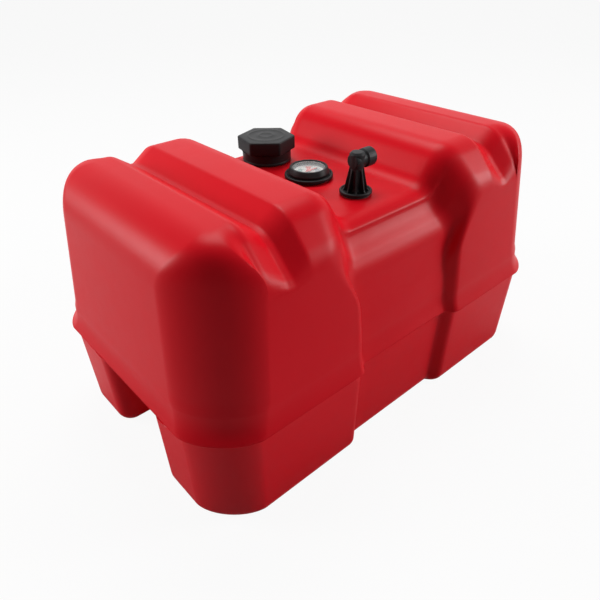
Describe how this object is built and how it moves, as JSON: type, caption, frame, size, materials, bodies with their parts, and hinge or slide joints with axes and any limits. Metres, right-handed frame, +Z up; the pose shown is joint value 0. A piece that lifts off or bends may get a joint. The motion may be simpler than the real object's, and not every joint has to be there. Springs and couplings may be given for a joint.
{
  "type": "outboard fuel tank",
  "caption": "Portable outboard fuel tank in moulded red plastic, with a vented black filler cap, a direct-reading fuel gauge and a 90-degree pickup elbow on its deck.",
  "frame": {"origin": "on the ground, under the middle of the tank body", "axes": "+X along the tank, toward the side that the outlet horn points to; +Y across it, from the elbow toward the filler cap; +Z up"},
  "size_m": [0.602, 0.378, 0.3484],
  "materials": {
    "red_polyethylene": "satin, as blow moulded",
    "black_polypropylene": "satin, as injection moulded",
    "nitrile_rubber": "dull black",
    "clear_lens": "clear, polished",
    "dial_print": "printed, satin",
    "pointer_red": "satin",
    "white_acetal": "satin, natural white",
    "stainless_wire": "bright drawn",
    "ferrite_magnet": "ground grey",
    "float_foam": "dull, closed cells"
  },
  "bodies": {
    "tank": {"tank_shell": "red_polyethylene", "gauge_body": "black_polypropylene", "gauge_gasket": "nitrile_rubber", "gauge_bezel": "black_polypropylene", "gauge_lens": "clear_lens", "lens_seal": "nitrile_rubber", "gauge_dial": "dial_print", "gauge_mast": "white_acetal", "arm_pivot_pin": "stainless_wire", "pin_clip": "stainless_wire", "pickup_elbow": "black_polypropylene", "pickup_gasket": "nitrile_rubber", "pickup_tube": "black_polypropylene", "pickup_strainer": "white_acetal", "outlet_valve_seat": "white_acetal", "outlet_valve_spring": "stainless_wire"},
    "cap_seal": {"cap_liner": "black_polypropylene", "cap_gasket": "nitrile_rubber", "vent_retainer": "white_acetal", "vent_spring": "stainless_wire"},
    "filler_cap": {"cap_shell": "black_polypropylene"},
    "vent_valve": {"vent_poppet": "white_acetal"},
    "float_lever": {"float_lever": "white_acetal", "float_arm": "stainless_wire", "float": "float_foam"},
    "pinion": {"pinion_shaft": "white_acetal", "driver_magnet": "ferrite_magnet"},
    "pointer": {"gauge_pointer": "pointer_red", "pointer_magnet": "ferrite_magnet"},
    "outlet_valve": {"outlet_valve_poppet": "white_acetal"}
  },
  "joints": [
    {"name": "cap_rise", "type": "slide", "parent": "tank", "child": "cap_seal", "axis": [0, 0, 1], "range_m": [0, 0.0101]},
    {"name": "cap_turn", "type": "hinge", "parent": "cap_seal", "child": "filler_cap", "pos_m": [-0.003, 0.085, 0.318], "axis": [0, 0, 1], "range_deg": [0, 720]},
    {"name": "vent_lift", "type": "slide", "parent": "cap_seal", "child": "vent_valve", "axis": [0, 0, 1], "range_m": [0, 0.002], "stiffness_N_per_m": 60, "springref_m": -0.001, "deforming": ["vent_spring"]},
    {"name": "float_swing", "type": "hinge", "parent": "tank", "child": "float_lever", "pos_m": [-0.006, -0.003, 0.153], "axis": [0, 1, 0], "range_deg": [0, 110]},
    {"name": "pinion_turn", "type": "hinge", "parent": "tank", "child": "pinion", "pos_m": [-0.006, -0.003, 0.215], "axis": [0, 0, 1], "range_deg": [-275, 0]},
    {"name": "pointer_turn", "type": "hinge", "parent": "tank", "child": "pointer", "pos_m": [-0.006, -0.003, 0.304], "axis": [0, 0, 1], "range_deg": [-275, 0]},
    {"name": "outlet_press", "type": "slide", "parent": "tank", "child": "outlet_valve", "axis": [-1, 0, 0], "range_m": [0, 0.0024], "stiffness_N_per_m": 60, "springref_m": -0.001, "deforming": ["outlet_valve_spring"]}
  ],
  "couplings": [
    {"joint": "cap_rise", "follows": "cap_turn", "m_per_rad": 0.00079577},
    {"joint": "pinion_turn", "follows": "float_swing", "ratio": -2.5},
    {"joint": "pointer_turn", "follows": "float_swing", "ratio": -2.5}
  ]
}
